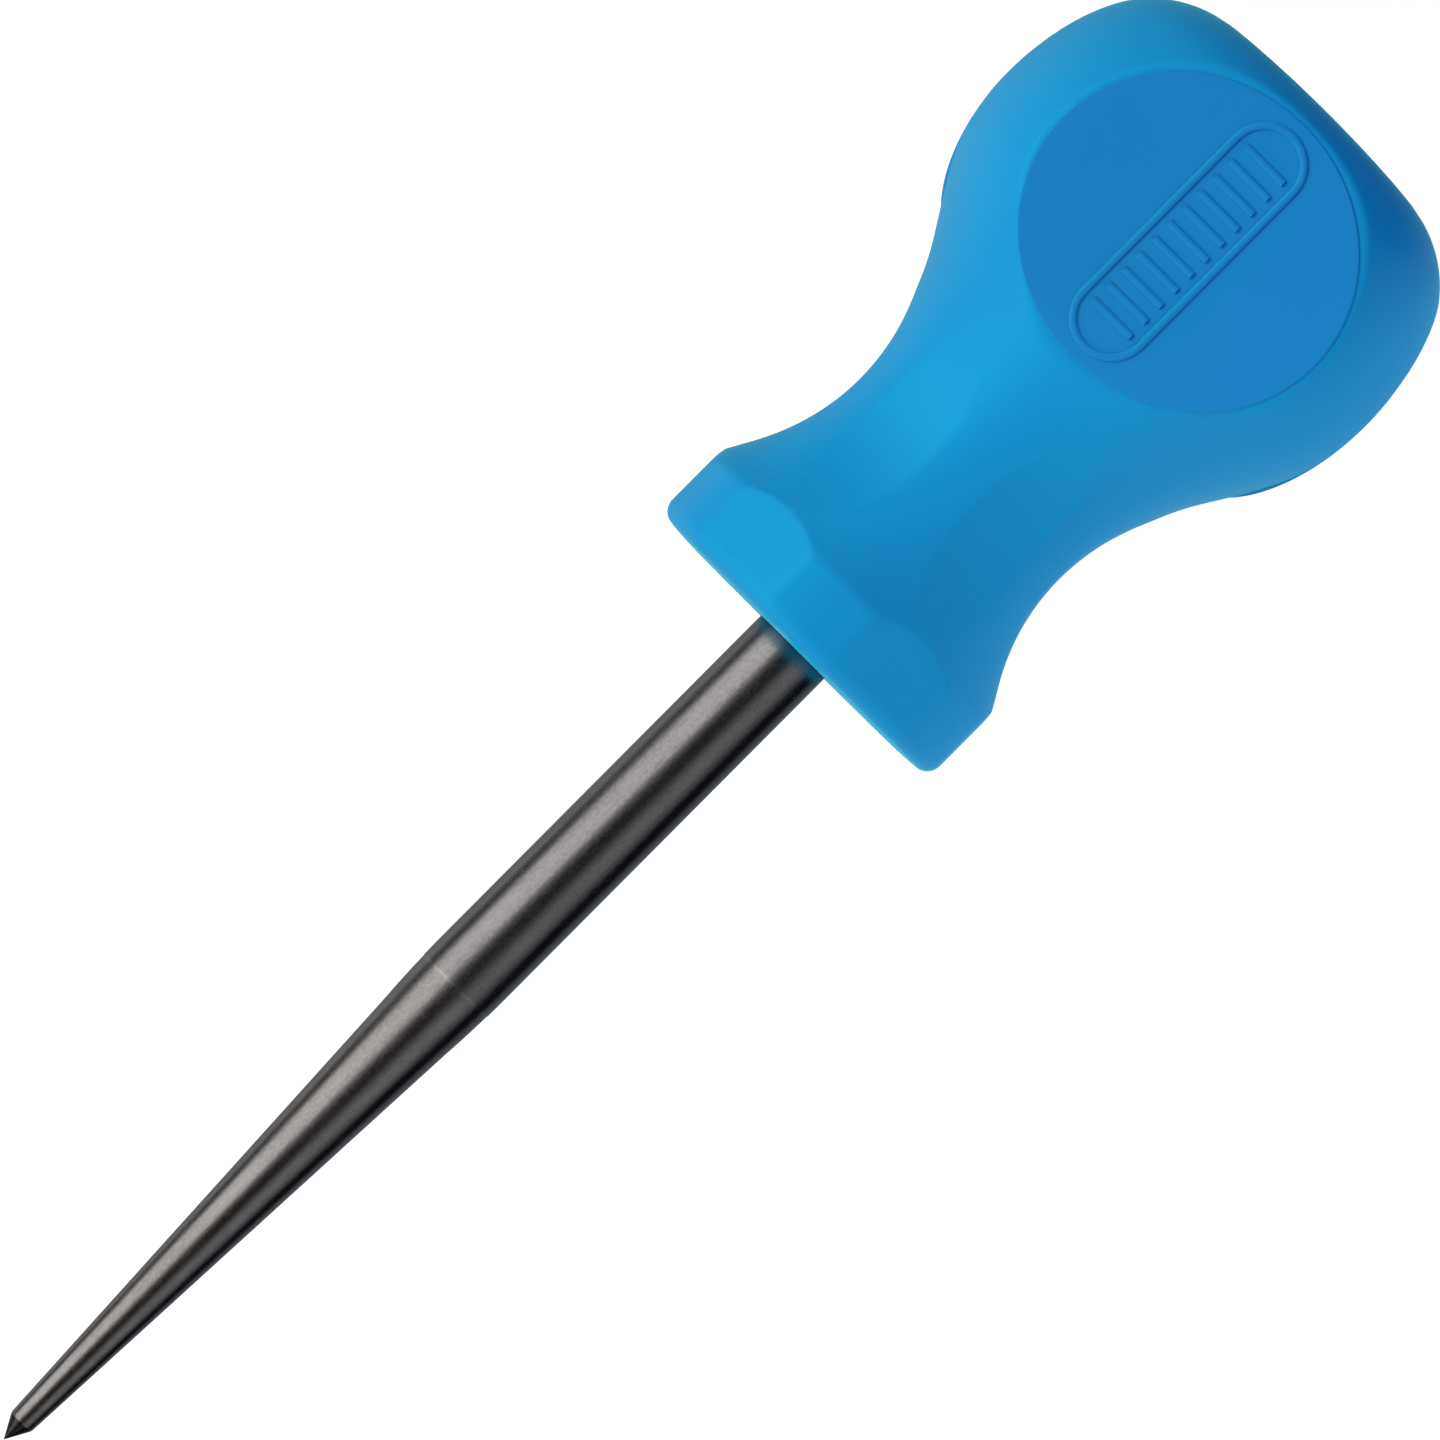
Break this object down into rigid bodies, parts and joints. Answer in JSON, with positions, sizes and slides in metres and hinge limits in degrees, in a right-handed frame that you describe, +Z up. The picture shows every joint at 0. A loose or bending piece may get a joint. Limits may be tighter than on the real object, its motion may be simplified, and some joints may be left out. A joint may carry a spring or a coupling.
{
  "type": "bookbinding awl",
  "caption": "Scratch awl with a tapered steel blade fixed in a stubby blue plastic handle that has a flatted collar, a scooped waist and a bulb with round flat faces.",
  "frame": {"origin": "centre of the collar's front face, on the tool's axis, where the blade leaves the handle", "axes": "+X along the tool's axis from the point towards the butt; +Z up with the tool lying on the round face that looks along -Z"},
  "size_m": [0.1489, 0.04, 0.0362],
  "materials": {
    "blade_steel": "ground tool steel, dark, with fine grinding lines",
    "core_plastic": "fine satin, moulded in blue",
    "grip_plastic": "matte soft-touch elastomer, moulded in blue"
  },
  "bodies": {
    "root": {"blade": "blade_steel", "handle_core": "core_plastic", "grip_sleeve": "grip_plastic"}
  },
  "joints": []
}
